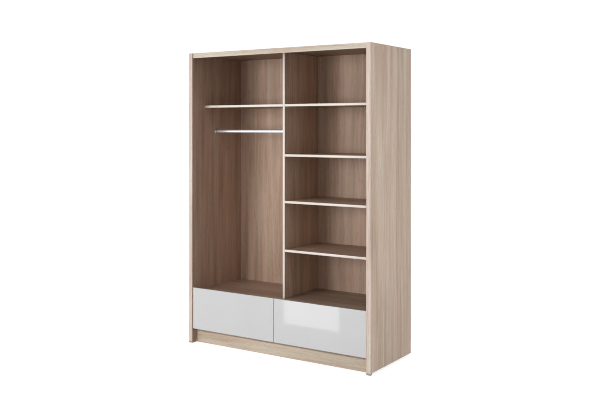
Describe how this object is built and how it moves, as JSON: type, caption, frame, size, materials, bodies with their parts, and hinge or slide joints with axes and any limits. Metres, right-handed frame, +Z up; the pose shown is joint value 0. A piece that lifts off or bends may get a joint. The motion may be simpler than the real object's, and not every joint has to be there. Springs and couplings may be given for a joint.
{
  "type": "open-front wardrobe",
  "caption": "Tall open-front wardrobe in light oak decor: a hanging bay with a chrome rail, a column of shelves, and wide handle-less gloss white drawers over a recessed plinth.",
  "frame": {"origin": "on the floor, in the middle of the footprint of the closed wardrobe", "axes": "+Z up; -Y out of the open front, +Y to the wall; +X to the right of someone who faces the front"},
  "size_m": [1.5, 0.6, 2.12],
  "materials": {
    "oak_decor": "light oak laminate with a fine matt grain, cream edge band on the inner boards",
    "gloss_white": "high-gloss white lacquer on fibreboard",
    "hardboard": "thin hardboard, oak print on the inside and raw brown on the outside",
    "chrome": "polished chrome tube",
    "socket_metal": "satin chromed cup",
    "zinc_steel": "zinc-plated rolled steel",
    "foot_plastic": "moulded beige-brown plastic",
    "strip_plastic": "extruded white plastic strip"
  },
  "bodies": {
    "carcass": {"side_panel_left": "oak_decor", "side_panel_right": "oak_decor", "top_panel": "oak_decor", "top_fascia": "oak_decor", "centre_divider": "oak_decor", "deck_panel": "oak_decor", "bottom_panel": "oak_decor", "drawer_partition": "oak_decor", "plinth_front": "oak_decor", "plinth_rear": "oak_decor", "plinth_centre_rib": "oak_decor", "shelf_left_1": "oak_decor", "shelf_right_1": "oak_decor", "shelf_right_2": "oak_decor", "shelf_right_3": "oak_decor", "shelf_right_4": "oak_decor", "back_panel_left": "hardboard", "back_panel_right": "hardboard", "back_joint_strip": "strip_plastic", "foot_front_left": "foot_plastic", "foot_front_right": "foot_plastic", "hanging_rail": "chrome", "rail_socket_left": "socket_metal", "rail_socket_right": "socket_metal", "runner_left_outer_cabinet": "zinc_steel", "runner_left_inner_cabinet": "zinc_steel", "runner_right_outer_cabinet": "zinc_steel", "runner_right_inner_cabinet": "zinc_steel"},
    "drawer_left": {"drawer_left_front": "gloss_white", "drawer_left_side_outer": "oak_decor", "drawer_left_side_inner": "oak_decor", "drawer_left_back": "oak_decor", "drawer_left_bottom": "hardboard", "runner_left_outer_drawer": "zinc_steel", "runner_left_inner_drawer": "zinc_steel"},
    "runner_middle_left": {"runner_left_outer_middle": "zinc_steel", "runner_left_inner_middle": "zinc_steel"},
    "drawer_right": {"drawer_right_front": "gloss_white", "drawer_right_side_outer": "oak_decor", "drawer_right_side_inner": "oak_decor", "drawer_right_back": "oak_decor", "drawer_right_bottom": "hardboard", "runner_right_outer_drawer": "zinc_steel", "runner_right_inner_drawer": "zinc_steel"},
    "runner_middle_right": {"runner_right_outer_middle": "zinc_steel", "runner_right_inner_middle": "zinc_steel"}
  },
  "joints": [
    {"name": "drawer_left_slide", "type": "slide", "parent": "carcass", "child": "drawer_left", "axis": [0, -1, 0], "range_m": [0, 0.45]},
    {"name": "runner_left_slide", "type": "slide", "parent": "carcass", "child": "runner_middle_left", "axis": [0, -1, 0], "range_m": [0, 0.225]},
    {"name": "drawer_right_slide", "type": "slide", "parent": "carcass", "child": "drawer_right", "axis": [0, -1, 0], "range_m": [0, 0.45]},
    {"name": "runner_right_slide", "type": "slide", "parent": "carcass", "child": "runner_middle_right", "axis": [0, -1, 0], "range_m": [0, 0.225]}
  ],
  "couplings": [
    {"joint": "runner_left_slide", "follows": "drawer_left_slide", "ratio": 0.5},
    {"joint": "runner_right_slide", "follows": "drawer_right_slide", "ratio": 0.5}
  ]
}
